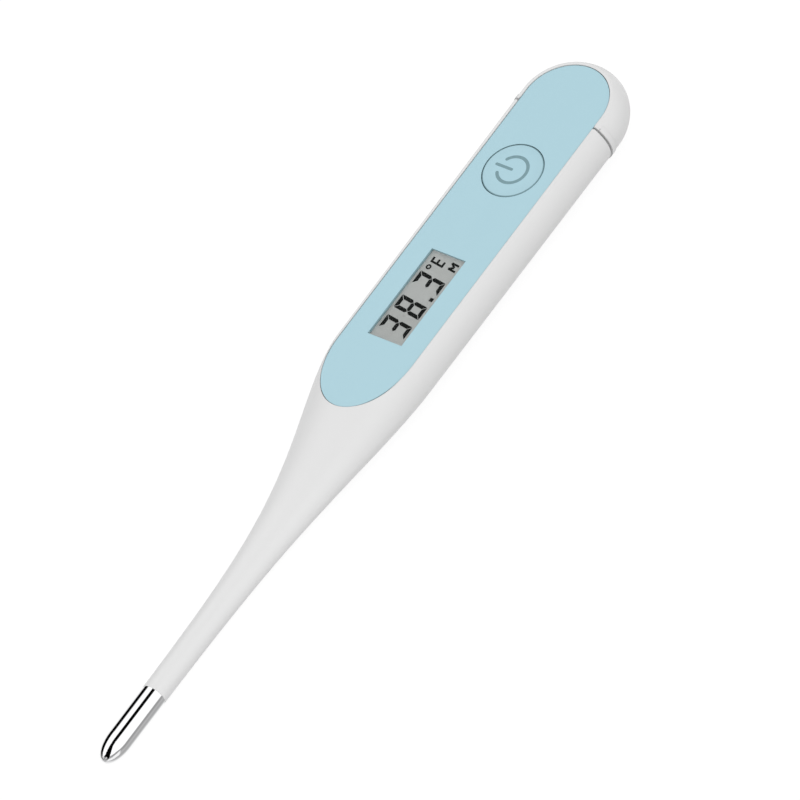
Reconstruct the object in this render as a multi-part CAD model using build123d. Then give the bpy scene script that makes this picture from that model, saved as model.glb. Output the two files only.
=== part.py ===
"""Digital thermometer: a pocket clinical thermometer with a steel probe tip.

Frame: the thermometer lies on its flat back. +Z is up, out of the face with the display.
+X runs along the length, from the probe tip to the battery end, and +Y is the upper side
of the display's digits. The origin is under the middle of the length, on the rest plane.

Places along the length are "stations", measured in millimetres from the probe's tip.
Every piece is drawn at its station, and moved to the frame when it is written.
"""
from build123d import *
from math import cos, pi
import os

# ---------------------------------------------------------------- outer form
LENGTH = 127.6
HALF_WIDTH = 8.43              # where the neck meets the body
THICKNESS = 9.2
SECTION_HALF_HEIGHT = 6.12     # the body's ellipse, cut flat by the face and by the back
SECTION_CENTRE_Z = 5.9
REAR_GROWTH = 0.15             # the ellipse is this much larger, all round, at the rear
REAR_CENTRE = LENGTH - HALF_WIDTH - REAR_GROWTH
STEM_RADIUS = 1.88
FACE_EDGE_RADIUS = 0.2         # the soft edge round the flat face

# The neck swells from the stem to the body along a raised cosine.
SWELL_START = -29.0
SWELL_END = 72.6
WIDTH_POWER = 3.36
HEIGHT_POWER = 4.33
NECK_SECTIONS = 12

WALL = 1.0
CLEARANCE = 0.1                # between pieces that are put together by hand

# ---------------------------------------------------------------- face panel
PANEL_HALF_WIDTH = 6.75
PANEL_NOSE_LENGTH = 10.0
PANEL_NOSE_STATION = 71.65     # where the straight sides turn into the elliptical nose
PANEL_RECESS = 0.1
PANEL_THICKNESS = 0.5
PANEL_TOP = THICKNESS - PANEL_RECESS
PANEL_UNDERSIDE = PANEL_TOP - PANEL_THICKNESS
ADHESIVE_THICKNESS = 0.1
LEDGE_TOP = PANEL_UNDERSIDE - ADHESIVE_THICKNESS
LEDGE_BOTTOM = LEDGE_TOP - WALL
LEDGE_WIDTH = 1.2

# ---------------------------------------------------------------- display
WINDOW_STATION = 82.1
WINDOW_LENGTH = 16.1
WINDOW_WIDTH = 6.2
WINDOW_RECESS = 0.3
POLARIZER_THICKNESS = 0.1
GLASS_THICKNESS = 0.3
CELL_GAP = 0.05
LCD_LENGTH = 20.0
LCD_WIDTH = 9.6
CONTACT_SHELF = 1.7            # the strip of front glass that overhangs the back glass
FRONT_GLASS_TOP = PANEL_UNDERSIDE - POLARIZER_THICKNESS
FRONT_GLASS_UNDERSIDE = FRONT_GLASS_TOP - GLASS_THICKNESS
BACK_GLASS_TOP = FRONT_GLASS_UNDERSIDE - CELL_GAP
BACK_GLASS_UNDERSIDE = BACK_GLASS_TOP - GLASS_THICKNESS
LCD_UNDERSIDE = BACK_GLASS_UNDERSIDE - POLARIZER_THICKNESS
LCD_SEAL_WIDTH = 0.4
POLARIZER_MARGIN = 0.5
CONNECTOR_LENGTH = 18.0
CONNECTOR_WIDTH = 1.3
CONNECTOR_MIDDLE_Y = (LCD_WIDTH - CONTACT_SHELF) / 2
HOLDER_LENGTH = 23.0
HOLDER_WIDTH = 10.6
HOLDER_ROOM_LENGTH = 17.0      # the open middle of the holder, under the back glass
HOLDER_ROOM_WIDTH = 5.2
HOLDER_ROOM_MIDDLE_Y = -0.8

# ---------------------------------------------------------------- figures on the display
FIGURE_HEIGHT = 4.95
FIGURE_WIDTH = 2.35
STROKE = 0.62
STROKE_GAP = 0.07              # half the gap between two neighbouring segments
SLANT = 0.12                   # the figures lean this far along for each unit up
FIGURE_STATIONS = (WINDOW_STATION - 5.35, WINDOW_STATION - 1.6, WINDOW_STATION + 2.95)
FIGURE_MIDDLE_Y = 0.15
POINT_STATION = WINDOW_STATION + 0.65
UNIT_STATION = WINDOW_STATION + 6.65
UNIT_MIDDLE_Y = 1.1
MEMORY_MARK_MIDDLE_Y = -1.7
FINE_STROKE = 0.34
UNIT_HALF_HEIGHT = 1.2
UNIT_ARM = 0.8
DEGREE_RADIUS = 0.44
DEGREE_HOLE_RADIUS = 0.19
MEMORY_HALF_HEIGHT = 0.66
MEMORY_HALF_WIDTH = 0.52

# ---------------------------------------------------------------- circuit board
PCB_START = 68.5
PCB_CORNER = 1.2
PCB_END = 113.3
PCB_WIDTH = 10.8
PCB_THICKNESS = 0.8
PCB_TOP = 5.0
PCB_UNDERSIDE = PCB_TOP - PCB_THICKNESS
RIB_STATIONS = (74.3, 87.3, 110.3)
RIB_THICKNESS = 1.0
STAKE_RADIUS = 0.4
CHIP_STATION = 81.3
CHIP_RADIUS = 2.8
CHIP_RISE = 1.0
SMD_STATION = 96.3
SMD_PITCH = 1.6
SMD_LENGTH = 1.6
SMD_WIDTH = 0.8
SMD_HEIGHT = 0.55
SMD_OFFSET = 3.4               # each row's distance from the middle of the board

# ---------------------------------------------------------------- power button
BUTTON_STATION = 106.2
BUTTON_RADIUS = 4.62
BUTTON_TRAVEL = 0.4
BUTTON_CHAMFER = 0.1
FLANGE_RADIUS = 5.3
FLANGE_THICKNESS = 0.6
DOME_RADIUS = 2.4
DOME_HEIGHT = 0.55
DOME_SHEET = 0.1
PAD_FOOT_RADIUS = 4.6
PAD_FOOT_WIDTH = 1.2
PAD_FOOT_HEIGHT = 0.8
PAD_PILLAR_RADIUS = 1.5
PAD_PILLAR_HEIGHT = 0.6
PAD_SKIN = 0.35

# ---------------------------------------------------------------- buzzer
BUZZER_STATION = 98.3
BUZZER_RADIUS = 4.6
BUZZER_SEAT_Z = 2.1
BUZZER_SHEET = 0.2
CERAMIC_RADIUS = 3.3
BUZZER_WIRE_MARGIN = 0.5       # from the ceramic's edge to the wire on the brass

# ---------------------------------------------------------------- battery end
SEAM_STATION = 116.9
COVER_WALL = 1.0
LIP_HEIGHT = 0.12              # the cover's front edge stands this far proud
LIP_WIDTH = 0.9
LIP_DROP = 0.4                 # from the face down to where the lip begins
SEAM_GAP = 0.22
TRAY_INSET = COVER_WALL + CLEARANCE
TRAY_END = 125.5
CELL_RADIUS = 3.95             # LR41 button cell, 7.9 x 3.6
CELL_HEIGHT = 3.6
CELL_STATION = 120.3
CELL_BOTTOM = 3.6
CELL_TOP = CELL_BOTTOM + CELL_HEIGHT
CELL_STEP_HEIGHT = 0.6         # the smaller negative cap
CELL_STEP_WIDTH = 0.75
CELL_EDGE_RADIUS = 0.25
CONTACT_SHEET = 0.15
CONTACT_WIDTH = 3.0
CONTACT_FOOT = 1.0             # soldered to the board
CONTACT_REACH = 1.5            # past the middle of the cell
BULKHEAD_STATION = 114.1
SEAL_STATION = 117.4
SEAL_WIDTH = 0.8
SEAL_SECTION = 0.45

# ---------------------------------------------------------------- probe
CAP_LENGTH = 12.65
CAP_RADIUS = 1.88
CAP_SHEET = 0.2
NOSE_LENGTH = 4.2
GLUE = 0.08
SPIGOT_STATION = 6.3
SPIGOT_RADIUS = CAP_RADIUS - CAP_SHEET - GLUE
BORE_RADIUS = 0.8
THERMISTOR_STATION = 2.9
THERMISTOR_RADIUS = 0.55
LEAD_END = 5.5
LEAD_RADIUS = 0.12
WIRE_RADIUS = 0.15
WIRE_OFFSET = 0.35
WIRE_SPREAD = 3                # the wires end this many times further apart on the board
WIRE_RISE_STATION = 44.0
WIRE_BEND = 6.0
POTTING_END = 5.0


# ================================================================ shared shapes
def block(x0, x1, y0, y1, z0, z1):
    """A box between two corners."""
    size = Box(x1 - x0, y1 - y0, z1 - z0, align=(Align.MIN, Align.MIN, Align.MIN))
    return Pos(x0, y0, z0) * size


def plate(station, length, width, z0, z1, y=0.0):
    """A flat plate centred on a station."""
    return block(station - length / 2, station + length / 2, y - width / 2, y + width / 2, z0, z1)


def disc(station, radius, z0, z1):
    """An upright round disc."""
    round_plate = Cylinder(radius, z1 - z0, align=(Align.CENTER, Align.CENTER, Align.MIN))
    return Pos(station, 0, z0) * round_plate


def lying_rod(x0, x1, radius, y=0.0, z=STEM_RADIUS):
    """A round rod along the length."""
    rod = Cylinder(radius, x1 - x0, align=(Align.CENTER, Align.CENTER, Align.MIN))
    return Pos(x0, y, z) * Rot(0, 90, 0) * rod


def swell(station, power):
    """How far the neck has grown at a station: 0 on the stem, 1 on the body."""
    share = (station - SWELL_START) / (SWELL_END - SWELL_START)
    return (1 - cos(pi * share ** power)) / 2


def cross_section(station, inset):
    """The ellipse across the thermometer at a station, drawn inset from the outside."""
    half_width = STEM_RADIUS + (HALF_WIDTH - STEM_RADIUS) * swell(station, WIDTH_POWER)
    grown = swell(station, HEIGHT_POWER)
    half_height = STEM_RADIUS + (SECTION_HALF_HEIGHT - STEM_RADIUS) * grown
    centre_z = STEM_RADIUS + (SECTION_CENTRE_Z - STEM_RADIUS) * grown
    plane = Plane(origin=(station, 0, centre_z), x_dir=(0, 1, 0), z_dir=(1, 0, 0))
    return plane * Ellipse(half_width - inset, half_height - inset)


def neck_form(inset):
    """The tapering neck, from the end of the steel cap to the full body."""
    step = (SWELL_END - CAP_LENGTH) / (NECK_SECTIONS - 1)
    return loft([cross_section(CAP_LENGTH + i * step, inset) for i in range(NECK_SECTIONS)])


def barrel_form(inset):
    """The nearly straight body and its round rear end, before the face and back are cut flat."""
    front_section = cross_section(SWELL_END, inset)
    rear_section = Pos(REAR_CENTRE - SWELL_END, 0, 0) * cross_section(SWELL_END, inset - REAR_GROWTH)
    straight = loft([front_section, rear_section], ruled=True)
    beside_axis = block(REAR_CENTRE - 1, REAR_CENTRE + 1, -LENGTH, 0, -LENGTH, LENGTH)
    upright_axis = Axis((REAR_CENTRE, 0, 0), (0, 0, 1))
    behind = block(REAR_CENTRE, 2 * LENGTH, -LENGTH, LENGTH, -LENGTH, LENGTH)
    rear = revolve(rear_section & beside_axis, axis=upright_axis) & behind
    return straight + rear


def body_form(inset, z0, z1):
    """The whole outside shape, drawn inset, between two heights."""
    slab = block(-LENGTH, 2 * LENGTH, -LENGTH, LENGTH, z0, z1)
    return (neck_form(inset) + barrel_form(inset)) & slab


def soft_face(form, start):
    """Round off the edge of the face, from a start station on."""
    face = form.faces().sort_by(Axis.Z)[-1]
    rim = [edge for edge in face.edges() if edge.center().X > start + CLEARANCE]
    return fillet(rim, FACE_EDGE_RADIUS)


def barrel_part(inset, x0, x1, z0, z1):
    """A stretch of the inset body between two stations and two heights."""
    return barrel_form(inset) & block(x0, x1, -LENGTH, LENGTH, z0, z1)


def panel_form(grow, z0, z1):
    """The face panel's outline as a prism: round at the rear, elliptical at the nose."""
    half_width = PANEL_HALF_WIDTH + grow
    straight = REAR_CENTRE - PANEL_NOSE_STATION
    middle = Pos(PANEL_NOSE_STATION + straight / 2, 0) * Rectangle(straight, 2 * half_width)
    rear = Pos(REAR_CENTRE, 0) * Circle(half_width)
    nose = Pos(PANEL_NOSE_STATION, 0) * Ellipse(PANEL_NOSE_LENGTH + grow, half_width)
    return extrude(Plane.XY.offset(z0) * (middle + rear + nose), amount=z1 - z0)


def spun(profile):
    """Turn a half profile, drawn as (station, distance from the axis), about the probe's axis."""
    beside = Plane(origin=(0, 0, STEM_RADIUS), x_dir=(1, 0, 0), z_dir=(0, -1, 0))
    return revolve(beside * profile, axis=Axis((0, 0, STEM_RADIUS), (1, 0, 0)))


def bullet(x0, x1, radius, nose_length):
    """A solid round bar with an elliptical nose that starts at x0."""
    nose = Pos(x0 + nose_length, 0) * Ellipse(nose_length, radius)
    shank_length = x1 - x0 - nose_length
    shank = Pos(x0 + nose_length + shank_length / 2, 0) * Rectangle(shank_length, 2 * radius)
    behind = Pos(x0, 0) * Rectangle(x1 - x0, radius, align=(Align.MIN, Align.MIN))
    return spun((nose + shank) & behind)


# ================================================================ case
def cell_pocket():
    """The bay that the cell slides into from the rear, with its two contacts."""
    z0 = CELL_BOTTOM - CONTACT_SHEET
    z1 = CELL_TOP + CONTACT_SHEET
    radius = CELL_RADIUS + CLEARANCE
    slot = block(CELL_STATION, LENGTH, -radius, radius, z0, z1)
    return disc(CELL_STATION, radius, z0, z1) + slot


def contact_slots():
    """The two slits in the bulkhead that the battery contacts pass through."""
    half = CONTACT_WIDTH / 2 + CLEARANCE
    low = CELL_BOTTOM - CONTACT_SHEET
    high = CELL_TOP
    lower = block(BULKHEAD_STATION - 1, CELL_STATION, -half, half, low, low + CONTACT_SHEET)
    upper = block(BULKHEAD_STATION - 1, CELL_STATION, -half, half, high, high + CONTACT_SHEET)
    return lower + upper


def tray():
    """The part of the case that the battery cover slides over."""
    solid = barrel_part(TRAY_INSET, SEAM_STATION - 1, TRAY_END, TRAY_INSET, LEDGE_TOP)
    return solid - seal_ring(0)


def board_ribs():
    """Cross ribs that carry the circuit board, with stakes through its holes."""
    inside = barrel_part(WALL / 2, SWELL_END, BULKHEAD_STATION, WALL / 2, PCB_UNDERSIDE)
    ribs = [inside & plate(x, RIB_THICKNESS, 2 * HALF_WIDTH, 0, PCB_UNDERSIDE) for x in RIB_STATIONS]
    stakes = [disc(x, STAKE_RADIUS, WALL, PCB_TOP) for x in stake_stations()]
    return ribs + stakes


def stake_stations():
    """The two ribs whose stakes hold the circuit board."""
    return RIB_STATIONS[0], RIB_STATIONS[-1]


def buzzer_seat():
    """The ring on the floor that the buzzer disc is stuck to."""
    floor = WALL / 2
    ring = disc(BUZZER_STATION, BUZZER_RADIUS, floor, BUZZER_SEAT_Z)
    hole = disc(BUZZER_STATION, BUZZER_RADIUS - WALL, floor, BUZZER_SEAT_Z)
    return (ring - hole) & barrel_part(WALL / 2, SWELL_END, SEAM_STATION, 0, THICKNESS)


def body_shell():
    """The white case with its hollow stem, the tray for the cell and the ledge for the panel."""
    ahead_of_seam = block(0, SEAM_STATION, -LENGTH, LENGTH, 0, THICKNESS)
    shell = (soft_face(body_form(0, 0, THICKNESS), 0) & ahead_of_seam) + tray()
    shell += lying_rod(SPIGOT_STATION, CAP_LENGTH, SPIGOT_RADIUS)
    ahead_of_bulkhead = block(0, BULKHEAD_STATION, -LENGTH, LENGTH, 0, THICKNESS)
    shell -= body_form(WALL, WALL, LEDGE_BOTTOM) & ahead_of_bulkhead
    shell -= panel_form(-LEDGE_WIDTH, LEDGE_BOTTOM, THICKNESS) & ahead_of_bulkhead
    shell -= panel_form(CLEARANCE, LEDGE_TOP, THICKNESS + 1)
    shell -= lying_rod(0, CAP_LENGTH + 1, BORE_RADIUS)
    shell -= cell_pocket()
    shell -= contact_slots()
    for piece in board_ribs():
        shell += piece
    return shell + buzzer_seat()


def battery_cover():
    """The scoop that closes the battery end: it slides on from the rear."""
    front = SEAM_STATION + SEAM_GAP
    outside = soft_face(barrel_part(0, front, LENGTH, 0, THICKNESS), front)
    lip_top = THICKNESS - LIP_DROP
    outside += barrel_part(-LIP_HEIGHT, front, front + LIP_WIDTH, 0, lip_top)
    inside = barrel_part(COVER_WALL, SEAM_STATION, LENGTH, COVER_WALL, THICKNESS)
    panel_notch = panel_form(CLEARANCE, LEDGE_TOP - CLEARANCE / 2, THICKNESS + 1)
    cell_stop = barrel_part(COVER_WALL / 2, TRAY_END + CLEARANCE, LENGTH, CELL_BOTTOM, CELL_TOP)
    stop_width = plate(LENGTH, LENGTH, CELL_RADIUS, CELL_BOTTOM, CELL_TOP)
    return outside - inside - panel_notch + (cell_stop & stop_width)


def seal_ring(slack):
    """The rubber ring round the tray, drawn with some slack on its outside."""
    x1 = SEAL_STATION + SEAL_WIDTH
    outer_inset = TRAY_INSET + slack
    inner_inset = TRAY_INSET + SEAL_SECTION
    outer = barrel_part(outer_inset, SEAL_STATION, x1, outer_inset, LEDGE_TOP - slack)
    inner = barrel_part(inner_inset, SEAL_STATION, x1, inner_inset, LEDGE_TOP - SEAL_SECTION)
    return outer - inner


def cover_seal():
    """The rubber ring that keeps water out of the battery bay."""
    return seal_ring(0)


# ================================================================ face
def button_hole(grow, z0, z1):
    """The round hole that the power button rises through."""
    return disc(BUTTON_STATION, BUTTON_RADIUS + CLEARANCE + grow, z0, z1)


def face_panel():
    """The coloured panel in the face, with the display opening and the button's hole."""
    panel = panel_form(0, PANEL_UNDERSIDE, PANEL_TOP)
    panel -= plate(WINDOW_STATION, WINDOW_LENGTH, WINDOW_WIDTH, 0, THICKNESS)
    return panel - button_hole(0, 0, THICKNESS)


def panel_adhesive():
    """The ring of double-sided film that bonds the panel to the ledge of the case."""
    outer = panel_form(-CLEARANCE, LEDGE_TOP, PANEL_UNDERSIDE)
    return outer - panel_form(-LEDGE_WIDTH, 0, THICKNESS)


def power_button():
    """The button cap: a disc in the panel's hole, on a flange that can't pass the hole."""
    flange_top = PANEL_UNDERSIDE - CLEARANCE / 2
    flange_bottom = flange_top - FLANGE_THICKNESS
    cap = disc(BUTTON_STATION, BUTTON_RADIUS, flange_bottom, PANEL_TOP)
    cap = chamfer(cap.edges().group_by(Axis.Z)[-1], BUTTON_CHAMFER)
    return cap + disc(BUTTON_STATION, FLANGE_RADIUS, flange_bottom, flange_top)


def button_pad():
    """The rubber pad: a foot on the board, a sloping skirt and a pillar under the cap."""
    top = PANEL_UNDERSIDE - CLEARANCE / 2 - FLANGE_THICKNESS
    dome_top = PCB_TOP + DOME_HEIGHT
    foot = PAD_FOOT_RADIUS
    foot_inside = PAD_FOOT_RADIUS - PAD_FOOT_WIDTH
    foot_top = PCB_TOP + PAD_FOOT_HEIGHT
    pillar = PAD_PILLAR_RADIUS
    pillar_inside = PAD_PILLAR_RADIUS - PAD_SKIN
    shoulder = top - PAD_PILLAR_HEIGHT
    outline = Polyline(
        (0, dome_top), (pillar_inside, dome_top), (pillar_inside, shoulder - PAD_SKIN),
        (foot_inside, foot_top - PAD_SKIN), (foot_inside, PCB_TOP), (foot, PCB_TOP),
        (foot, foot_top), (pillar, shoulder), (pillar, top), (0, top), close=True)
    ring = revolve(Plane.XZ * make_face(outline), axis=Axis.Z)
    return Pos(BUTTON_STATION, 0, 0) * ring


def dome_ball(radius, rise):
    """The radius of the ball whose cap is a dome of the given radius and rise."""
    return (radius ** 2 + rise ** 2) / (2 * rise)


def dome_switch():
    """The steel snap dome that the pad presses onto the board."""
    ball = dome_ball(DOME_RADIUS, DOME_HEIGHT)
    top = PCB_TOP + DOME_HEIGHT
    shell = Sphere(ball) - Sphere(ball - DOME_SHEET)
    above = disc(BUTTON_STATION, DOME_RADIUS, PCB_TOP, top)
    return (Pos(BUTTON_STATION, 0, top - ball) * shell) & above


# ================================================================ display
def lcd_window():
    """The clear window bonded into the panel's opening, a little below the face."""
    length = WINDOW_LENGTH - CLEARANCE / 2
    width = WINDOW_WIDTH - CLEARANCE / 2
    return plate(WINDOW_STATION, length, width, PANEL_UNDERSIDE, PANEL_TOP - WINDOW_RECESS)


def lcd_front_polarizer():
    """The polarizing film on the front glass."""
    length = LCD_LENGTH - 2 * POLARIZER_MARGIN
    width = LCD_WIDTH - 2 * POLARIZER_MARGIN
    return plate(WINDOW_STATION, length, width, FRONT_GLASS_TOP, PANEL_UNDERSIDE)


def lcd_front_glass():
    """The front glass, which overhangs the back glass on one side to reach the connector."""
    return plate(WINDOW_STATION, LCD_LENGTH, LCD_WIDTH, FRONT_GLASS_UNDERSIDE, FRONT_GLASS_TOP)


def back_sheet(z0, z1, margin=0.0):
    """A sheet behind the front glass, clear of the contact shelf."""
    width = LCD_WIDTH - CONTACT_SHELF
    return plate(WINDOW_STATION, LCD_LENGTH - 2 * margin, width - 2 * margin, z0, z1,
                 y=-CONTACT_SHELF / 2)


def lcd_back_glass():
    """The back glass."""
    return back_sheet(BACK_GLASS_UNDERSIDE, BACK_GLASS_TOP)


def lcd_edge_seal():
    """The thin frame of epoxy that joins the two glasses round the liquid crystal."""
    outer = back_sheet(BACK_GLASS_TOP, FRONT_GLASS_UNDERSIDE)
    return outer - back_sheet(BACK_GLASS_TOP, FRONT_GLASS_UNDERSIDE, LCD_SEAL_WIDTH)


def lcd_reflector():
    """The reflective polarizer behind the back glass."""
    return back_sheet(LCD_UNDERSIDE, BACK_GLASS_UNDERSIDE)


def segment_outlines(width, height, stroke, gap):
    """The outlines of the seven segments a to g of a figure centred on the origin."""
    w = width / 2
    h = height / 2
    level = [(gap - w, h), (w - gap, h), (w - stroke - gap, h - stroke), (stroke + gap - w, h - stroke)]
    upright = [(w, h - gap), (w - stroke, h - stroke - gap), (w - stroke, stroke / 2 + gap),
               (w - stroke / 2, gap), (w, stroke / 2 + gap)]
    half = [(gap - w + stroke / 2, 0), (gap - w + stroke, stroke / 2), (w - stroke - gap, stroke / 2),
            (w - stroke / 2 - gap, 0)]

    def mirrored(points, x_sign, y_sign):
        return [(x * x_sign, y * y_sign) for x, y in points]

    return {"a": level, "d": mirrored(level, 1, -1), "b": upright, "c": mirrored(upright, 1, -1),
            "f": mirrored(upright, -1, 1), "e": mirrored(upright, -1, -1),
            "g": half + mirrored(half[-2:0:-1], 1, -1)}


def leaning(points, station, middle_y):
    """A flat face from an outline that leans with the figures, at its place on the display."""
    placed = [(station + x + SLANT * y, middle_y + y) for x, y in points]
    return make_face(Polyline(*placed, close=True))


def figure(lit, station):
    """One large figure: lit names its segments."""
    outlines = segment_outlines(FIGURE_WIDTH, FIGURE_HEIGHT, STROKE, STROKE_GAP)
    return [leaning(outlines[name], station, FIGURE_MIDDLE_Y) for name in lit]


def line_mark(lines, station, middle_y):
    """A small mark drawn with straight thin lines, each between two points about its middle."""
    half = FINE_STROKE / 2
    strokes = []
    for (x0, y0), (x1, y1) in lines:
        length = ((x1 - x0) ** 2 + (y1 - y0) ** 2) ** 0.5
        side_x = -(y1 - y0) / length * half
        side_y = (x1 - x0) / length * half
        corners = [(x0 + side_x, y0 + side_y), (x1 + side_x, y1 + side_y),
                   (x1 - side_x, y1 - side_y), (x0 - side_x, y0 - side_y)]
        strokes.append(leaning(corners, station, middle_y))
    return Sketch() + strokes


def unit_mark():
    """The unit mark: a spine with three arms, and the degree ring beside it."""
    half_arm = UNIT_ARM / 2
    top = UNIT_HALF_HEIGHT
    lines = [[(-half_arm, -top), (-half_arm, top)]]
    lines += [[(-half_arm, y), (half_arm, y)]
              for y in (FINE_STROKE / 2 - top, 0, top - FINE_STROKE / 2)]
    ring = Circle(DEGREE_RADIUS) - Circle(DEGREE_HOLE_RADIUS)
    ring_station = UNIT_STATION - UNIT_ARM - 1.1 * DEGREE_RADIUS
    ring_y = UNIT_MIDDLE_Y + top - 0.8 * DEGREE_RADIUS
    return [line_mark(lines, UNIT_STATION, UNIT_MIDDLE_Y), Pos(ring_station, ring_y) * ring]


def memory_mark():
    """The letter for a stored reading: two posts, and two strokes that meet between them."""
    side = MEMORY_HALF_WIDTH
    top = MEMORY_HALF_HEIGHT
    valley = -0.2 * MEMORY_HALF_HEIGHT
    points = [(-side, -top), (-side, top), (0, valley), (side, top), (side, -top)]
    return line_mark(zip(points, points[1:]), UNIT_STATION, MEMORY_MARK_MIDDLE_Y)


def lcd_segments():
    """The lit segments: three figures, a decimal point, and the small marks at the battery end."""
    faces = []
    for station, lit in zip(FIGURE_STATIONS, ("abcdg", "abcdefg", "abcdg")):
        faces += figure(lit, station)
    point_y = FIGURE_MIDDLE_Y - FIGURE_HEIGHT / 2 + STROKE / 2
    faces.append(Pos(POINT_STATION, point_y) * Rectangle(STROKE, STROKE))
    faces += unit_mark() + [memory_mark()]
    layer = Plane.XY.offset(BACK_GLASS_TOP)
    return [extrude(layer * face, amount=CELL_GAP / 2) for face in faces]


def zebra_connector():
    """The rubber strip that joins the contact shelf to the board."""
    return plate(WINDOW_STATION, CONNECTOR_LENGTH, CONNECTOR_WIDTH, PCB_TOP,
                 FRONT_GLASS_UNDERSIDE, y=CONNECTOR_MIDDLE_Y)


def lcd_holder():
    """The frame on the board that holds the display and its connector in line."""
    holder = plate(WINDOW_STATION, HOLDER_LENGTH, HOLDER_WIDTH, PCB_TOP, LEDGE_TOP)
    slack = 2 * CLEARANCE
    holder -= plate(WINDOW_STATION, LCD_LENGTH + slack, LCD_WIDTH + slack, LCD_UNDERSIDE, THICKNESS)
    holder -= plate(WINDOW_STATION, CONNECTOR_LENGTH + slack, CONNECTOR_WIDTH + slack,
                    0, THICKNESS, y=CONNECTOR_MIDDLE_Y)
    return holder - plate(WINDOW_STATION, HOLDER_ROOM_LENGTH, HOLDER_ROOM_WIDTH,
                          0, THICKNESS, y=HOLDER_ROOM_MIDDLE_Y)


# ================================================================ electronics
def pcb():
    """The circuit board, with the holes for the two stakes."""
    board = block(PCB_START, PCB_END, -PCB_WIDTH / 2, PCB_WIDTH / 2, PCB_UNDERSIDE, PCB_TOP)
    board = chamfer(board.edges().filter_by(Axis.Z).group_by(Axis.X)[0], PCB_CORNER)
    for station in stake_stations():
        board -= disc(station, STAKE_RADIUS + CLEARANCE / 2, 0, THICKNESS)
    return board


def chip_blob():
    """The resin blob over the processor, under the board."""
    bottom = PCB_UNDERSIDE - CHIP_RISE
    ball = dome_ball(CHIP_RADIUS, CHIP_RISE)
    below = disc(CHIP_STATION, CHIP_RADIUS, bottom, PCB_UNDERSIDE)
    return (Pos(CHIP_STATION, 0, bottom + ball) * Sphere(ball)) & below


def smd_components():
    """The resistors and capacitors in a row behind the display."""
    top = PCB_TOP + SMD_HEIGHT
    return [plate(SMD_STATION + SMD_PITCH * column, SMD_WIDTH, SMD_LENGTH, PCB_TOP, top,
                  y=side * SMD_OFFSET)
            for column in range(3) for side in (-1, 1)]


def buzzer_disc():
    """The brass disc of the buzzer, on its ring seat."""
    top = BUZZER_SEAT_Z + BUZZER_SHEET
    return disc(BUZZER_STATION, BUZZER_RADIUS - CLEARANCE, BUZZER_SEAT_Z, top)


def buzzer_ceramic():
    """The piezo ceramic on the brass disc."""
    bottom = BUZZER_SEAT_Z + BUZZER_SHEET
    return disc(BUZZER_STATION, CERAMIC_RADIUS, bottom, bottom + BUZZER_SHEET)


def buzzer_wires():
    """Two short wires from the board down to the brass and to the ceramic."""
    brass_top = BUZZER_SEAT_Z + BUZZER_SHEET
    ceramic_top = brass_top + BUZZER_SHEET
    to_ceramic = disc(BUZZER_STATION, WIRE_RADIUS, ceramic_top, PCB_UNDERSIDE)
    brass_station = BUZZER_STATION + CERAMIC_RADIUS + BUZZER_WIRE_MARGIN
    to_brass = disc(brass_station, WIRE_RADIUS, brass_top, PCB_UNDERSIDE)
    return [to_ceramic, to_brass]


def battery_cell():
    """The button cell, with its smaller negative cap underneath."""
    step_top = CELL_BOTTOM + CELL_STEP_HEIGHT
    can = disc(CELL_STATION, CELL_RADIUS, step_top, CELL_TOP)
    can = fillet(can.edges().group_by(Axis.Z)[-1], CELL_EDGE_RADIUS)
    return can + disc(CELL_STATION, CELL_RADIUS - CELL_STEP_WIDTH, CELL_BOTTOM, step_top)


def bent_strip(points):
    """A contact of sheet metal: a side outline, given a width across the thermometer."""
    side = make_face(Polyline(*points, close=True))
    upright = Plane(origin=(0, CONTACT_WIDTH / 2, 0), x_dir=(1, 0, 0), z_dir=(0, -1, 0))
    return extrude(upright * side, amount=CONTACT_WIDTH)


def battery_contact_positive():
    """The contact over the cell: it drops to the top of the board ahead of the bulkhead."""
    front = PCB_END - 2 * CONTACT_FOOT
    bend = PCB_END - CONTACT_FOOT
    end = CELL_STATION + CONTACT_REACH
    sheet = CONTACT_SHEET
    return bent_strip([
        (front, PCB_TOP), (bend + sheet, PCB_TOP), (bend + sheet, CELL_TOP), (end, CELL_TOP),
        (end, CELL_TOP + sheet), (bend, CELL_TOP + sheet), (bend, PCB_TOP + sheet),
        (front, PCB_TOP + sheet)])


def battery_contact_negative():
    """The contact under the cell: it rises to the underside of the board."""
    front = PCB_END - 1.6 * CONTACT_FOOT
    bend = PCB_END - 0.6 * CONTACT_FOOT
    end = CELL_STATION + CONTACT_REACH
    sheet = CONTACT_SHEET
    low = CELL_BOTTOM - sheet
    return bent_strip([
        (front, PCB_UNDERSIDE), (bend, PCB_UNDERSIDE), (bend, CELL_BOTTOM), (end, CELL_BOTTOM),
        (end, low), (bend - sheet, low), (bend - sheet, PCB_UNDERSIDE - sheet),
        (front, PCB_UNDERSIDE - sheet)])


# ================================================================ probe
def tip_cap():
    """The thin steel thimble over the end of the stem."""
    inner = bullet(CAP_SHEET, CAP_LENGTH + 1, CAP_RADIUS - CAP_SHEET, NOSE_LENGTH - CAP_SHEET)
    return bullet(0, CAP_LENGTH, CAP_RADIUS, NOSE_LENGTH) - inner


def tip_adhesive():
    """The sleeve of glue between the steel cap and the stem."""
    outer = lying_rod(SPIGOT_STATION, CAP_LENGTH, CAP_RADIUS - CAP_SHEET)
    return outer - lying_rod(SPIGOT_STATION, CAP_LENGTH, SPIGOT_RADIUS)


def thermistor():
    """The glass bead that senses the temperature, with its two leads."""
    bead = Pos(THERMISTOR_STATION, 0, STEM_RADIUS) * Sphere(THERMISTOR_RADIUS)
    for side in (-1, 1):
        bead += lying_rod(THERMISTOR_STATION, LEAD_END, LEAD_RADIUS, y=side * WIRE_OFFSET)
    return bead


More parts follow.
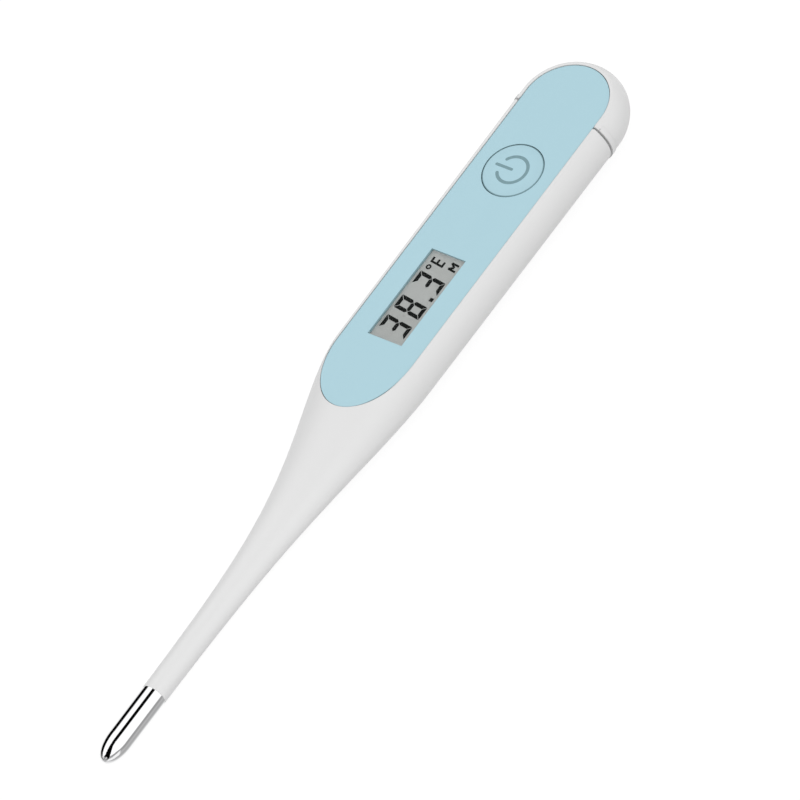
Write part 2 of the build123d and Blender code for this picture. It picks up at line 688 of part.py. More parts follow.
def tip_potting():
    """The resin that fills the nose of the cap round the thermistor."""
    fill = bullet(CAP_SHEET, POTTING_END, CAP_RADIUS - CAP_SHEET, NOSE_LENGTH - CAP_SHEET)
    return fill - thermistor()


def sensor_wires():
    """The pair of enamelled wires from the thermistor's leads up the stem to the board."""
    wires = []
    for side in (-1, 1):
        near = side * WIRE_OFFSET
        apart = WIRE_SPREAD * near
        height = PCB_TOP + WIRE_RADIUS
        path = FilletPolyline(
            (LEAD_END, near, STEM_RADIUS), (WIRE_RISE_STATION, near, STEM_RADIUS),
            (PCB_START - 1, apart, height), (PCB_START + 1, apart, height), radius=WIRE_BEND)
        start = Plane(origin=path @ 0, z_dir=path % 0)
        wires.append(sweep(start * Circle(WIRE_RADIUS), path=path))
    return wires


# ================================================================ files
PIECES = (
    body_shell, battery_cover, cover_seal, face_panel, panel_adhesive, power_button, button_pad,
    dome_switch, lcd_window, lcd_front_polarizer, lcd_front_glass, lcd_edge_seal, lcd_segments,
    lcd_back_glass, lcd_reflector, lcd_holder, zebra_connector, pcb, chip_blob, smd_components,
    buzzer_disc, buzzer_ceramic, buzzer_wires, battery_cell, battery_contact_positive,
    battery_contact_negative, sensor_wires, thermistor, tip_potting, tip_adhesive, tip_cap)


def write_piece(make):
    """Write one piece, or one group of separate solids, under its function's name."""
    made = make()
    solids = [solid for shape in (made if isinstance(made, list) else [made])
              for solid in shape.solids()]
    to_frame = Pos(-LENGTH / 2, 0, 0)
    placed = [to_frame * solid for solid in solids]
    shape = placed[0] if len(placed) == 1 else Compound(children=placed)
    export_step(shape, f"parts/{make.__name__}.step")


os.makedirs("parts", exist_ok=True)
for piece in PIECES:
    write_piece(piece)
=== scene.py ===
"""Digital thermometer: looks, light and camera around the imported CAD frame. Lengths are in metres."""
import math

import bmesh
import bpy
from mathutils import Matrix, Vector


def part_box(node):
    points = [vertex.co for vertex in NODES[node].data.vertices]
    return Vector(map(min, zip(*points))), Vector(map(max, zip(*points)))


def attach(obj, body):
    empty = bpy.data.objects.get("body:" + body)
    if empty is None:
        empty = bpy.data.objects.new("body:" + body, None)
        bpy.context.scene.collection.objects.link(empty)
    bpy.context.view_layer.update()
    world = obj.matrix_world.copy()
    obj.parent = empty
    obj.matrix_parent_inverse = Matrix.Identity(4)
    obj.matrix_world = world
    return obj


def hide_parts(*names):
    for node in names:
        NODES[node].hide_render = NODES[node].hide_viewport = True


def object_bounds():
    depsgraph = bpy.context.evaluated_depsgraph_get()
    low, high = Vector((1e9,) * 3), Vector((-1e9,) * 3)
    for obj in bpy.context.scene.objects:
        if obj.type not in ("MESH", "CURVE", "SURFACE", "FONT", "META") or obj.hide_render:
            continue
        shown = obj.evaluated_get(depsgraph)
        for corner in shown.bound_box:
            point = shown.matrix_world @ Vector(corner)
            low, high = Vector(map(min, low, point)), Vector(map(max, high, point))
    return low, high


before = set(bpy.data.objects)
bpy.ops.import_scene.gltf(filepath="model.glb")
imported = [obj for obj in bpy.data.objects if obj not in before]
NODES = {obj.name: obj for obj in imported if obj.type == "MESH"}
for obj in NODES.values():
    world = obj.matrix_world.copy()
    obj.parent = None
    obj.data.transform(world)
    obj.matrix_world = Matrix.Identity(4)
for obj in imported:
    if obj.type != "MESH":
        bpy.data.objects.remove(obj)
CAD_LOW, CAD_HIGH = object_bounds()
MM = 0.001


# ================================================================ colours
def screen(red, green, blue):
    """A colour as a screen shows it, 0 to 255, as linear light."""
    def channel(value):
        value /= 255
        return value / 12.92 if value <= 0.04045 else ((value + 0.055) / 1.055) ** 2.4
    return channel(red), channel(green), channel(blue), 1.0


def shade(color, share):
    """The same colour, darker or lighter by a share."""
    return tuple(min(1.0, channel * share) for channel in color[:3]) + (1.0,)


WHITE = screen(227, 227, 227)
BLUE = screen(175, 211, 222)
# painted shade for the upright walls of the blue panel and button, which stand in the shade of their
# recesses
WALL_SHADE = screen(150, 182, 190)
# painted shade: the colour the case and cover take on at their edges beside the seam's groove
SEAM_SHADE = screen(140, 140, 140)
SIGN = screen(122, 155, 163)
DISPLAY_GREY = screen(174, 177, 175)
FIGURE_INK = screen(18, 21, 20)
STEEL = screen(246, 246, 247)
PAPER = screen(225, 225, 225)


# ================================================================ material recipes
class Nodes:
    """A node tree under construction."""

    def __init__(self, tree):
        self.tree = tree

    def add(self, kind, **settings):
        """A new node of a kind, with its settings."""
        node = self.tree.nodes.new(kind)
        for key, value in settings.items():
            setattr(node, key, value)
        return node

    def link(self, source, target):
        self.tree.links.new(source, target)

    def math(self, operation, *values):
        """One sum on numbers or sockets."""
        node = self.add("ShaderNodeMath", operation=operation)
        for socket, value in zip(node.inputs, values):
            if isinstance(value, (int, float)):
                socket.default_value = value
            else:
                self.link(value, socket)
        return node.outputs["Value"]

    def remap(self, value, old, new=(0.0, 1.0)):
        """Map a value from one pair of limits to another, held at the ends."""
        node = self.add("ShaderNodeMapRange")
        for socket, limit in zip(("From Min", "From Max", "To Min", "To Max"), (*old, *new)):
            node.inputs[socket].default_value = limit
        self.link(value, node.inputs["Value"])
        return node.outputs["Result"]


class Recipe(Nodes):
    """A material under construction."""

    def __init__(self, name, color, roughness, metallic=0.0):
        self.material = bpy.data.materials.new(name)
        self.material.use_nodes = True
        super().__init__(self.material.node_tree)
        self.shader = self.tree.nodes["Principled BSDF"]
        self.color = color
        self.set("Base Color", color)
        self.set("Roughness", roughness)
        self.set("Metallic", metallic)
        self.place = self.add("ShaderNodeTexCoord").outputs["Object"]

    def set(self, socket, value):
        self.shader.inputs[socket].default_value = value

    def along(self, axis):
        """The distance along X, Y or Z, in metres."""
        parts = self.add("ShaderNodeSeparateXYZ")
        self.link(self.place, parts.inputs["Vector"])
        return parts.outputs[axis]

    def stretched(self, stretch):
        """The place on the thermometer, with each axis scaled."""
        mapping = self.add("ShaderNodeMapping")
        mapping.inputs["Scale"].default_value = stretch
        self.link(self.place, mapping.inputs["Vector"])
        return mapping.outputs["Vector"]

    def noise(self, waves, detail=3.0, stretch=(1, 1, 1)):
        """Noise of so many waves to the metre."""
        noise = self.add("ShaderNodeTexNoise")
        noise.inputs["Scale"].default_value = waves
        noise.inputs["Detail"].default_value = detail
        self.link(self.stretched(stretch), noise.inputs["Vector"])
        return noise.outputs["Fac"]

    def bands(self, axis, pitch):
        """Waves along an axis, from -1 to 1, so far apart."""
        return self.math("SINE", self.math("MULTIPLY", self.along(axis), 2 * math.pi / pitch))

    def cells(self, count):
        """The distance from the nearest of scattered points, so many to the metre."""
        cells = self.add("ShaderNodeTexVoronoi")
        cells.inputs["Scale"].default_value = count
        self.link(self.place, cells.inputs["Vector"])
        return cells.outputs["Distance"]

    def rounded(self, radius):
        """The surface's direction, as if its edges were rounded to a radius."""
        bevel = self.add("ShaderNodeBevel", samples=6)
        bevel.inputs["Radius"].default_value = radius
        return bevel.outputs["Normal"]

    def edges(self, radius):
        """1 on edges sharper than the radius, 0 on open faces."""
        geometry = self.add("ShaderNodeNewGeometry")
        dot = self.add("ShaderNodeVectorMath", operation="DOT_PRODUCT")
        self.link(self.rounded(radius), dot.inputs[0])
        self.link(geometry.outputs["Normal"], dot.inputs[1])
        return self.remap(dot.outputs["Value"], (0.995, 0.9))

    def standing(self):
        """1 on upright walls, 0 on level faces."""
        normal = self.add("ShaderNodeSeparateXYZ")
        self.link(self.add("ShaderNodeNewGeometry").outputs["True Normal"], normal.inputs["Vector"])
        return self.remap(self.math("ABSOLUTE", normal.outputs["Z"]), (0.3, 0.2))

    def blend(self, value, other):
        """Take the colour built up so far towards another one, by a value from 0 to 1."""
        mix = self.add("ShaderNodeMix", data_type="RGBA")
        sockets = {socket.identifier: socket for socket in (*mix.inputs, *mix.outputs)}
        if isinstance(self.color, tuple):
            sockets["A_Color"].default_value = self.color
        else:
            self.link(self.color, sockets["A_Color"])
        sockets["B_Color"].default_value = other
        self.link(value, mix.inputs["Factor"])
        self.color = sockets["Result_Color"]
        self.link(self.color, self.shader.inputs["Base Color"])

    def mottle(self, waves, band, other, share=1.0, stretch=(1, 1, 1)):
        """Blend in patches of another colour, where noise passes through a band of values."""
        patches = self.noise(waves, stretch=stretch)
        self.blend(self.remap(patches, band, (0.0, share)), other)

    def drive(self, socket, value):
        """Let a value steer one of the shader's settings."""
        self.link(value, self.shader.inputs[socket])

    def overlay(self, share, lower, upper):
        """Show so large a share of the upper shader over the lower one."""
        mix = self.add("ShaderNodeMixShader")
        self.link(share, mix.inputs[0])
        self.link(lower, mix.inputs[1])
        self.link(upper, mix.inputs[2])
        self.link(mix.outputs["Shader"], self.tree.nodes["Material Output"].inputs["Surface"])

    def bump(self, height, distance, edge=0.0):
        """Raise the surface by up to a distance, over edges rounded to a radius."""
        bump = self.add("ShaderNodeBump")
        bump.inputs["Strength"].default_value = 1.0
        bump.inputs["Distance"].default_value = distance
        self.link(height, bump.inputs["Height"])
        if edge:
            self.link(self.rounded(edge), bump.inputs["Normal"])
        self.link(bump.outputs["Normal"], self.shader.inputs["Normal"])


def satin(name, color, roughness, grain=5000.0, depth=0.002 * MM, edge=0.1 * MM):
    """Moulded plastic: faint flow marks, a fine satin grain, and edges polished by handling."""
    recipe = Recipe(name, color, roughness)
    recipe.set("IOR", 1.48)
    recipe.mottle(55.0, (0.35, 0.7), shade(color, 0.975), stretch=(0.3, 1, 1))
    worn = recipe.edges(1.5 * edge)
    recipe.blend(recipe.math("MULTIPLY", worn, 0.3), shade(color, 1.05))
    uneven = recipe.remap(recipe.noise(350.0), (0.3, 0.7), (roughness - 0.05, roughness + 0.05))
    recipe.drive("Roughness", recipe.math("SUBTRACT", uneven, recipe.math("MULTIPLY", worn, 0.08)))
    recipe.bump(recipe.noise(grain, detail=2.0), depth, edge)
    return recipe


def white_case():
    """The white case and its battery cover, with painted shade along the seam between them."""
    recipe = satin("case_white", WHITE, 0.42)
    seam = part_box("battery_cover")[0].x
    from_seam = recipe.math("ABSOLUTE", recipe.math("SUBTRACT", recipe.along("X"), seam))
    near_seam = recipe.remap(from_seam, (0.45 * MM, 0.3 * MM))
    # Painted shade: the case and cover are darkened on their edges next to the seam, where the groove
    # falls in shade.
    seam_shade = recipe.math("MULTIPLY", recipe.edges(0.2 * MM), near_seam)
    recipe.blend(recipe.math("MULTIPLY", seam_shade, 0.8), SEAM_SHADE)
    return recipe.material


def blue_face(name):
    """The blue printed film: satin, with painted shade on its upright walls."""
    recipe = satin(name, BLUE, 0.5, grain=9000.0, depth=0.001 * MM, edge=0.05 * MM)
    recipe.mottle(30.0, (0.4, 0.65), shade(BLUE, 0.985))
    # Painted shade: the upright walls of the panel, its openings and the button are darkened as if they
    # lay in shade.
    recipe.blend(recipe.standing(), WALL_SHADE)
    return recipe


CAP_RADIUS = 4.62 * MM         # the part of the button that shows in the panel's hole
# how wide the painted shadow line round the button's rim is, standing in for the shade in the gap round
# the cap
RIM_SHADE_WIDTH = 0.2 * MM


def button_face():
    """The button's cap: the panel's blue, with painted shade darkening it outwards as on a dished cap,
    and a painted shadow line round its rim.
    """
    recipe = blue_face("button_blue")
    low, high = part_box("power_button")
    off_middle = recipe.math("SUBTRACT", recipe.along("X"), (low.x + high.x) / 2)
    beside = recipe.along("Y")
    squares = recipe.math("ADD", recipe.math("MULTIPLY", off_middle, off_middle),
                          recipe.math("MULTIPLY", beside, beside))
    radius = recipe.math("SQRT", squares)
    # Painted shade: the cap is darkened towards its rim, standing in for the shading of a dished cap.
    dished_shade = recipe.remap(radius, (0.6 * CAP_RADIUS, CAP_RADIUS), (0.0, 0.35))
    recipe.blend(dished_shade, shade(BLUE, 0.88))
    # Painted shadow: a dark line in the sign's colour on the cap's rim stands in for the shade in the
    # gap between cap and panel.
    rim_shade_start = CAP_RADIUS - RIM_SHADE_WIDTH
    recipe.blend(recipe.remap(radius, (rim_shade_start, rim_shade_start + 0.08 * MM)), SIGN)
    return recipe


def plain_plastic(name, color):
    """Moulded plastic inside the case."""
    return satin(name, color, 0.5, grain=3000.0).material


def soft_rubber(name, color):
    """Rubber: matt and slightly mottled, with a dusty bloom and a few specks."""
    recipe = Recipe(name, color, 0.72)
    recipe.mottle(500.0, (0.4, 0.7), shade(color, 1.5), share=0.6)
    specks = recipe.remap(recipe.cells(1800.0), (0.12, 0.05), (0.0, 0.5))
    recipe.blend(specks, shade(color, 2.2))
    recipe.drive("Roughness", recipe.remap(recipe.noise(900.0), (0.3, 0.7), (0.6, 0.85)))
    recipe.bump(recipe.noise(4000.0), 0.004 * MM, 0.05 * MM)
    return recipe.material


def rolled_metal(name, color, roughness, stretch=(0.04, 1, 1)):
    """Sheet metal with rolling lines, a few stains, and bright edges."""
    recipe = Recipe(name, color, roughness, metallic=1.0)
    lines = recipe.noise(9000.0, detail=4.0, stretch=stretch)
    recipe.mottle(260.0, (0.45, 0.75), shade(color, 0.85))
    recipe.blend(recipe.edges(0.08 * MM), shade(color, 1.15))
    recipe.drive("Roughness", recipe.remap(lines, (0.3, 0.7), (roughness - 0.08, roughness + 0.1)))
    recipe.bump(lines, 0.001 * MM, 0.03 * MM)
    return recipe.material


def polished_steel():
    """The probe's steel: mirror polished, with very fine turning lines round it."""
    recipe = Recipe("probe_steel", STEEL, 0.05, metallic=1.0)
    lines = recipe.noise(12000.0, detail=2.0, stretch=(1, 0.02, 0.02))
    smudges = recipe.noise(220.0)
    recipe.blend(recipe.remap(smudges, (0.5, 0.8)), shade(STEEL, 0.96))
    turned = recipe.remap(lines, (0.3, 0.7), (0.02, 0.05))
    handled = recipe.remap(smudges, (0.5, 0.8), (0.0, 0.05))
    recipe.drive("Roughness", recipe.math("ADD", turned, handled))
    return recipe.material


def circuit_board():
    """Green solder mask, with tracks that show through it, and tinned holes."""
    green = screen(22, 92, 52)
    recipe = Recipe("board_green", green, 0.35)
    patches = recipe.remap(recipe.noise(180.0, detail=0.0), (0.48, 0.52))
    lines = recipe.remap(recipe.bands("Y", 0.9 * MM), (0.2, 0.5))
    tracks = recipe.math("MULTIPLY", lines, patches)
    recipe.blend(tracks, screen(48, 132, 78))
    holes = recipe.remap(recipe.cells(320.0), (0.16, 0.12))
    recipe.blend(holes, screen(200, 202, 204))
    recipe.drive("Metallic", holes)
    recipe.bump(recipe.math("ADD", tracks, recipe.noise(2500.0)), 0.01 * MM, 0.05 * MM)
    return recipe.material


SMD_LENGTH = 1.6 * MM
SMD_TIN = 0.36 * MM            # the tinned length at each end of a component


def tinned_components():
    """Brown ceramic components with tinned ends. Each one lies across the board."""
    recipe = Recipe("component_ceramic", screen(150, 122, 92), 0.5)
    outer_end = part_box("smd_components")[1].y
    from_edge = recipe.math("SUBTRACT", outer_end, recipe.math("ABSOLUTE", recipe.along("Y")))
    from_end = recipe.math("MINIMUM", from_edge, recipe.math("SUBTRACT", SMD_LENGTH, from_edge))
    tin = recipe.remap(from_end, (SMD_TIN, SMD_TIN - 0.04 * MM))
    recipe.mottle(3000.0, (0.4, 0.7), screen(128, 102, 76))
    recipe.blend(tin, screen(205, 206, 208))
    recipe.drive("Metallic", tin)
    recipe.bump(recipe.noise(5000.0), 0.006 * MM, 0.06 * MM)
    return recipe.material


def layered_strip():
    """The connector's thin layers, carbon and clear in turn."""
    recipe = Recipe("zebra_rubber", screen(176, 140, 146), 0.6)
    recipe.blend(recipe.remap(recipe.bands("X", 0.25 * MM), (-0.2, 0.2)), screen(44, 40, 42))
    recipe.bump(recipe.noise(2500.0), 0.004 * MM)
    return recipe.material


def fired_ceramic():
    """The silvered ceramic of the buzzer, with a matt rim and fine pits."""
    recipe = Recipe("piezo_ceramic", screen(206, 204, 198), 0.45, metallic=0.4)
    pits = recipe.remap(recipe.cells(3500.0), (0.1, 0.2), (1.0, 0.0))
    recipe.blend(pits, screen(160, 156, 148))
    recipe.blend(recipe.edges(0.15 * MM), screen(188, 178, 156))
    recipe.bump(recipe.noise(2600.0), 0.003 * MM, 0.04 * MM)
    return recipe.material


def cured_resin(name, color):
    """Resin that set as a pool: smooth and glossy, with small bubbles and cloudy patches."""
    recipe = Recipe(name, color, 0.15)
    recipe.set("Coat Weight", 0.4)
    recipe.mottle(420.0, (0.4, 0.7), shade(color, 1.25))
    bubbles = recipe.remap(recipe.cells(1300.0), (0.05, 0.12), (1.0, 0.0))
    recipe.blend(recipe.math("MULTIPLY", bubbles, 0.5), shade(color, 1.6))
    recipe.bump(recipe.math("SUBTRACT", recipe.noise(600.0), bubbles), 0.01 * MM)
    return recipe.material


def adhesive_film():
    """Double-sided film: milky, with trapped air."""
    color = screen(214, 210, 192)
    recipe = Recipe("adhesive_film", color, 0.4)
    recipe.set("Transmission Weight", 0.2)
    recipe.mottle(700.0, (0.4, 0.7), shade(color, 0.9))
    recipe.bump(recipe.cells(1200.0), 0.004 * MM)
    return recipe.material


def display_film():
    """The grey film over the glass: a cool grey with a fine sparkle and a slow drift in tone."""
    recipe = Recipe("polarizer_film", DISPLAY_GREY, 0.55)
    recipe.mottle(6000.0, (0.3, 0.7), shade(DISPLAY_GREY, 0.95))
    recipe.mottle(90.0, (0.4, 0.6), shade(DISPLAY_GREY, 1.04))
    recipe.drive("Roughness", recipe.remap(recipe.noise(700.0), (0.3, 0.7), (0.45, 0.6)))
    recipe.bump(recipe.noise(7000.0), 0.0008 * MM)
    return recipe.material


def figure_ink():
    """The dark figures, slightly uneven as liquid crystal is."""
    recipe = Recipe("segment_dark", FIGURE_INK, 0.4)
    recipe.set("Specular IOR Level", 0.05)
    recipe.mottle(1500.0, (0.4, 0.7), shade(FIGURE_INK, 1.5))
    recipe.bump(recipe.noise(6000.0), 0.0005 * MM)
    return recipe.material


def sign_ink():
    """The printed sign on the button: matt ink with a little grain."""
    recipe = Recipe("sign_ink", SIGN, 0.55)
    recipe.mottle(2500.0, (0.35, 0.7), shade(SIGN, 0.93))
    recipe.bump(recipe.noise(8000.0), 0.001 * MM)
    return recipe.material


def amber_bead():
    """The glass of the sensor bead, dark where the chip shows through."""
    recipe = Recipe("bead_glass", screen(200, 140, 84), 0.06)
    recipe.set("Transmission Weight", 0.6)
    recipe.mottle(1200.0, (0.45, 0.6), screen(96, 62, 40))
    recipe.bump(recipe.noise(1500.0), 0.004 * MM)
    return recipe.material


def clear(name, tint, gloss):
    """Clear sheet that bends no light: a faint reflection and a few smudges over what is behind."""
    recipe = Recipe(name, tint, gloss, metallic=1.0)
    see_through = recipe.add("ShaderNodeBsdfTransparent")
    see_through.inputs["Color"].default_value = tint
    smudges = recipe.noise(160.0)
    recipe.drive("Roughness", recipe.remap(smudges, (0.4, 0.7), (gloss, gloss + 0.12)))
    facing = recipe.add("ShaderNodeFresnel")
    facing.inputs["IOR"].default_value = 1.08
    haze = recipe.remap(smudges, (0.4, 0.7), (0.0, 0.004))
    cover = recipe.math("ADD", facing.outputs["Fac"], haze)
    recipe.overlay(cover, see_through.outputs["BSDF"], recipe.shader.outputs["BSDF"])
    return recipe.material


def paint_nodes():
    """Give every CAD node its material."""
    white = white_case()
    glass = clear("lcd_glass", (0.93, 0.97, 0.96, 1.0), 0.03)
    spring_steel = rolled_metal("spring_steel", screen(206, 206, 208), 0.25)
    copper = rolled_metal("wire_copper", screen(196, 112, 70), 0.3, stretch=(0.1, 1, 1))
    clear_resin = cured_resin("resin_clear", screen(206, 196, 160))
    finishes = {
        "body_shell": white,
        "battery_cover": white,
        "cover_seal": soft_rubber("seal_rubber", screen(52, 52, 55)),
        "face_panel": blue_face("panel_blue").material,
        "panel_adhesive": adhesive_film(),
        "power_button": button_face().material,
        "button_pad": soft_rubber("pad_rubber", screen(176, 180, 184)),
        "dome_switch": spring_steel,
        "lcd_window": clear("clear_window", (1.0, 1.0, 1.0, 1.0), 0.02),
        "lcd_front_polarizer": display_film(),
        "lcd_front_glass": glass,
        "lcd_back_glass": glass,
        "lcd_edge_seal": plain_plastic("lcd_epoxy", screen(200, 200, 196)),
        "lcd_segments": figure_ink(),
        "lcd_reflector": rolled_metal("reflector_grey", screen(176, 180, 172), 0.35),
        "lcd_holder": plain_plastic("frame_grey", screen(190, 190, 190)),
        "zebra_connector": layered_strip(),
        "pcb": circuit_board(),
        "chip_blob": cured_resin("resin_black", screen(26, 26, 27)),
        "smd_components": tinned_components(),
        "buzzer_disc": rolled_metal("brass", screen(214, 182, 104), 0.28),
        "buzzer_ceramic": fired_ceramic(),
        "buzzer_wires": copper,
        "sensor_wires": copper,
        "battery_cell": rolled_metal("cell_steel", screen(214, 214, 216), 0.2, stretch=(1, 1, 0.05)),
        "battery_contact_positive": spring_steel,
        "battery_contact_negative": spring_steel,
        "thermistor": amber_bead(),
        "tip_potting": clear_resin,
        "tip_adhesive": clear_resin,
        "tip_cap": polished_steel(),
    }
    for name, material in finishes.items():
        NODES[name].data.materials.clear()
        NODES[name].data.materials.append(material)


# ================================================================ display figures and button sign
FILM_GAP = 0.002 * MM          # keeps the raised figures clear of the film
SIGN_RADIUS = 2.3 * MM
SIGN_STROKE = 0.5 * MM
SIGN_GAP = 33                  # half the opening of the ring, in degrees
BAR_LOW = -0.05 * MM
BAR_HIGH = 3.1 * MM
BAR_STROKE = 0.46 * MM
SIGN_SHIFT_X = 0.08 * MM       # the print lies a little off the button's middle
SIGN_SHIFT_Y = 0.12 * MM
INK_THICKNESS = 0.012 * MM
RING_STEPS = 96
END_STEPS = 12                 # steps round the half circle at the end of a stroke


def lcd_figures():
    """The lit figures, raised from between the glasses to where the eye sees them: on the film."""
    mesh = NODES["lcd_segments"].data.copy()
    film_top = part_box("lcd_front_polarizer")[1].z
    figures_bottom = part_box("lcd_segments")[0].z
    mesh.transform(Matrix.Translation((0, 0, film_top + FILM_GAP - figures_bottom)))
    figures = bpy.data.objects.new("lcd_figures", mesh)
    bpy.context.scene.collection.objects.link(figures)
    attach(figures, "case")
    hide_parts("lcd_segments")


def arc(centre, radius, start, end, steps):
    """Points along an arc between two angles in degrees."""
    angles = [math.radians(start + (end - start) * i / steps) for i in range(steps + 1)]
    return [(centre[0] + radius * math.cos(a), centre[1] + radius * math.sin(a)) for a in angles]


def ring_outline(radius, stroke, gap):
    """An open ring with round ends, its gap centred on +Y. The gap is given as half its angle."""
    start = 90 + gap
    end = 450 - gap
    half = stroke / 2
    outside = arc((0, 0), radius + half, start, end, RING_STEPS)
    inside = arc((0, 0), radius - half, end, start, RING_STEPS)
    middle_line = arc((0, 0), radius, start, end, 1)
    first_end = arc(middle_line[0], half, start + 180, start + 360, END_STEPS)
    last_end = arc(middle_line[1], half, end, end + 180, END_STEPS)
    return outside + last_end[1:] + inside[1:] + first_end[1:-1]


def bar_outline(low, high, stroke):
    """An upright bar with round ends."""
    half = stroke / 2
    upper_end = arc((0, high - half), half, 0, 180, END_STEPS)
    lower_end = arc((0, low + half), half, 180, 360, END_STEPS)
    return upper_end + lower_end


def power_sign():
    """The power sign: a thin layer of print on the button's cap."""
    low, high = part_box("power_button")
    middle_x = (low.x + high.x) / 2 + SIGN_SHIFT_X
    top_z = high.z + INK_THICKNESS
    ring = ring_outline(SIGN_RADIUS, SIGN_STROKE, SIGN_GAP)
    bar = bar_outline(BAR_LOW, BAR_HIGH, BAR_STROKE)
    mesh = bmesh.new()
    for outline in (ring, bar):
        corners = [mesh.verts.new((middle_x + x, SIGN_SHIFT_Y + y, top_z)) for x, y in outline]
        top = mesh.faces.new(corners)
        made = bmesh.ops.extrude_face_region(mesh, geom=[top])
        bottom = [item for item in made["geom"] if isinstance(item, bmesh.types.BMVert)]
        bmesh.ops.translate(mesh, verts=bottom, vec=(0, 0, -INK_THICKNESS))
    bmesh.ops.triangulate(mesh, faces=mesh.faces[:])
    bmesh.ops.recalc_face_normals(mesh, faces=mesh.faces[:])
    data = bpy.data.meshes.new("power_sign")
    mesh.to_mesh(data)
    mesh.free()
    data.materials.append(sign_ink())
    sign = bpy.data.objects.new("power_sign", data)
    bpy.context.scene.collection.objects.link(sign)
    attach(sign, "button")


# ================================================================ stage, light and camera
# What polished steel sees, going round the thermometer's length. Each row is an angle in degrees,
# up from the horizon on its +Y side and on over the top, and how bright the studio is there. The
# two black stretches are flags, and the grey one is the table on the -Y side. In the functions
# below, degrees is this angle, and ahead is the angle from the way the probe points.
STUDIO_RING = (
    (-90, 0.74), (-60, 0.92), (-8, 0.8), (0, 0.0), (35, 0.0), (40, 1.0), (82, 1.0), (86, 0.0),
    (109, 0.0), (113, 1.0), (182, 1.0), (188, 0.3), (202, 0.32), (214, 0.44), (236, 0.36),
    (254, 0.45), (270, 0.74))
DOME = 0.86                    # how bright the white dome is for diffuse surfaces
REFLECTED_SKY = 1.15           # how bright its white is in reflections
REFLECTED_END = 0.6            # the same, straight ahead of the nose


def studio_ring(sky, degrees):
    """How bright the studio is at an angle round the thermometer's length."""
    ramp = sky.add("ShaderNodeValToRGB")
    stops = ramp.color_ramp.elements
    stops[0].position = 0.0
    stops[1].position = 1.0
    for angle, _ in STUDIO_RING[1:-1]:
        stops.new((angle + 90) / 360)
    for stop, (_, bright) in zip(stops, STUDIO_RING):
        stop.color = (bright, bright, bright, 1.0)
    sky.link(sky.remap(degrees, (-90, 270)), ramp.inputs["Fac"])
    return ramp.outputs["Color"]


def nose_screen(sky, degrees, ahead):
    """0 on the dark screen ahead of the nose, which narrows to a line across the top, else 1."""
    middle = sky.remap(ahead, (45, 100), (128, 99))
    half_width = sky.remap(ahead, (36, 84), (42, 4))
    off_middle = sky.math("ABSOLUTE", sky.math("SUBTRACT", degrees, middle))
    off_middle = sky.math("MULTIPLY", off_middle, sky.math("SINE", sky.math("RADIANS", ahead)))
    beside = sky.remap(sky.math("SUBTRACT", off_middle, half_width), (-1, 1))
    below = sky.remap(ahead, (36, 30))
    above = sky.remap(ahead, (84, 88))
    return sky.math("MAXIMUM", beside, sky.math("MAXIMUM", above, below))


def nose_ring(sky, degrees, ahead):
    """The ring as the nose sees it: the table's edge higher, a pale strip on it, the flag fading."""
    near_nose = sky.remap(ahead, (100, 45), (0, 28))
    raised = sky.math("MULTIPLY", near_nose, sky.remap(degrees, (115, 150)))
    ring = studio_ring(sky, sky.math("ADD", degrees, raised))
    strip = sky.math("MULTIPLY", sky.remap(degrees, (188, 194)), sky.remap(degrees, (228, 222)))
    strip = sky.math("MULTIPLY", strip, sky.remap(ahead, (97, 88), (0, 0.85)))
    fading = sky.math("MULTIPLY", sky.remap(degrees, (60, 50)), sky.remap(ahead, (75, 40), (0, 0.3)))
    return sky.math("MAXIMUM", ring, sky.math("MAXIMUM", strip, fading))


def studio():
    """An even white dome. Reflections see dark flags and a grey table in it as well."""
    scene = bpy.context.scene
    scene.view_settings.view_transform = "Standard"
    scene.world = bpy.data.worlds.new("studio")
    scene.world.use_nodes = True
    sky = Nodes(scene.world.node_tree)
    direction = sky.add("ShaderNodeSeparateXYZ")
    sky.link(sky.add("ShaderNodeTexCoord").outputs["Generated"], direction.inputs["Vector"])
    height = sky.math("ARCTAN2", direction.outputs["Z"], direction.outputs["Y"])
    height = sky.math("WRAP", height, 1.5 * math.pi, -0.5 * math.pi)
    degrees = sky.math("DEGREES", height)
    ahead = sky.math("ARCCOSINE", sky.math("MULTIPLY", direction.outputs["X"], -1.0))
    ahead = sky.math("DEGREES", ahead)

    ring = nose_ring(sky, degrees, ahead)
    seen = sky.math("MULTIPLY", ring, nose_screen(sky, degrees, ahead))
    seen = sky.math("MULTIPLY", seen, sky.remap(ahead, (40, 28), (REFLECTED_SKY, REFLECTED_END)))
    reflected = sky.add("ShaderNodeLightPath").outputs["Is Glossy Ray"]
    change = sky.math("MULTIPLY", sky.math("SUBTRACT", seen, DOME), reflected)
    background = sky.tree.nodes["Background"]
    sky.link(sky.math("ADD", DOME, change), background.inputs["Color"])


def floor_paper():
    """White paper, lit from below as on a light table: the camera sees only a hint of shadow."""
    recipe = Recipe("floor_paper", PAPER, 0.9)
    recipe.set("Specular IOR Level", 0.0)
    recipe.mottle(3.0, (0.4, 0.6), shade(PAPER, 0.99))
    glow = recipe.add("ShaderNodeEmission")
    glow.inputs["Strength"].default_value = 1.12
    seen = recipe.add("ShaderNodeLightPath").outputs["Is Camera Ray"]
    glow_share = recipe.math("MULTIPLY", seen, 0.8)
    recipe.overlay(glow_share, recipe.shader.outputs["BSDF"], glow.outputs["Emission"])
    return recipe.material


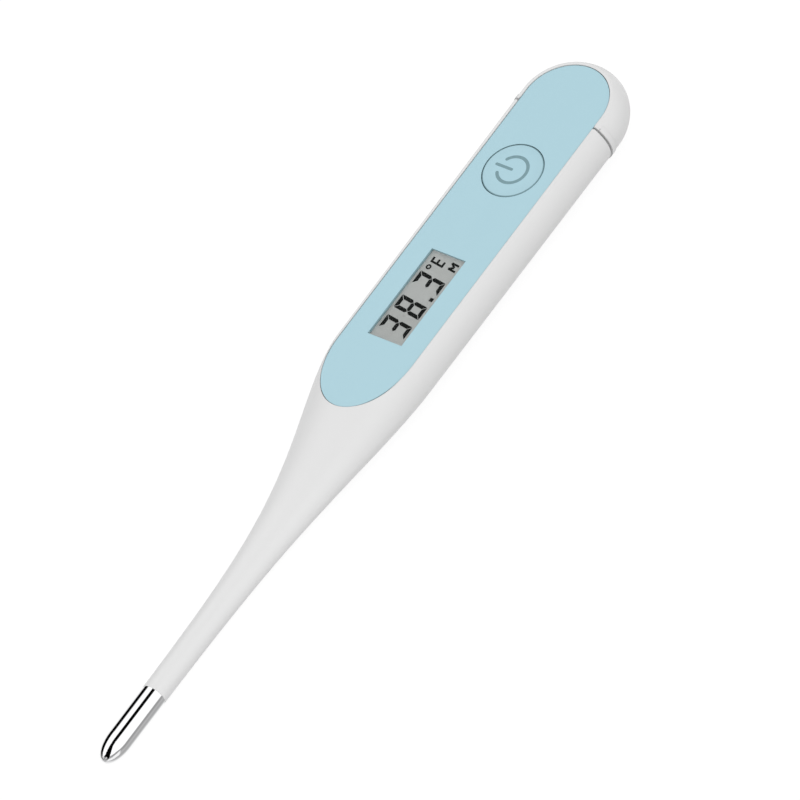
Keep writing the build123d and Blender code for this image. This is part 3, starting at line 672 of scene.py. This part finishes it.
def floor():
    """A plain pale floor, which reflections don't see: the studio's ring stands for it there."""
    reach = 3.0
    mesh = bpy.data.meshes.new("floor")
    corners = [(-reach, -reach, 0), (reach, -reach, 0), (reach, reach, 0), (-reach, reach, 0)]
    mesh.from_pydata(corners, [], [(0, 1, 2, 3)])
    mesh.materials.append(floor_paper())
    plane = bpy.data.objects.new("floor", mesh)
    bpy.context.scene.collection.objects.link(plane)
    plane.visible_glossy = False


def soft_box(name, place, size, power):
    """A large soft lamp that shines at the middle of the thermometer."""
    data = bpy.data.lights.new(name, "AREA")
    data.size = size
    data.energy = power
    lamp = bpy.data.objects.new(name, data)
    lamp.location = place
    lamp.rotation_euler = (-Vector(place)).to_track_quat("-Z", "Y").to_euler()
    lamp.visible_glossy = False
    bpy.context.scene.collection.objects.link(lamp)


# The view: the directions that the picture's right and up lie along, and a point on the face with
# its place in the picture.
VIEW_RIGHT = Vector((0.5628, -0.7658, -0.3112))
VIEW_UP = Vector((0.7413, 0.3011, 0.5999))
VIEW_WIDTH = 112.58 * MM
POINT_STATION = 81.45 * MM     # from the probe's tip, near the middle of the display
POINT_ACROSS = 1.95 * MM       # right of the picture's middle
POINT_ABOVE = 14.07 * MM       # above the picture's middle
DISTANCE = 5.0


def camera():
    """A very long lens, high on the -Y side, rolled so that the probe points down to the left."""
    right = VIEW_RIGHT.normalized()
    back = right.cross(VIEW_UP).normalized()
    up = back.cross(right)
    face_point = Vector((CAD_LOW.x + POINT_STATION, 0, CAD_HIGH.z))
    target = face_point - POINT_ACROSS * right - POINT_ABOVE * up
    data = bpy.data.cameras.new("camera")
    data.sensor_width = 36
    data.lens = data.sensor_width * DISTANCE / VIEW_WIDTH
    data.clip_end = 100
    eye = bpy.data.objects.new("camera", data)
    turn = Matrix((right, up, back)).transposed().to_4x4()
    eye.matrix_world = Matrix.Translation(target + back * DISTANCE) @ turn
    bpy.context.scene.collection.objects.link(eye)
    bpy.context.scene.camera = eye


paint_nodes()
lcd_figures()
power_sign()
studio()
floor()
soft_box("key_light", place=(-0.15, -0.5, 0.8), size=0.7, power=1.9)
camera()
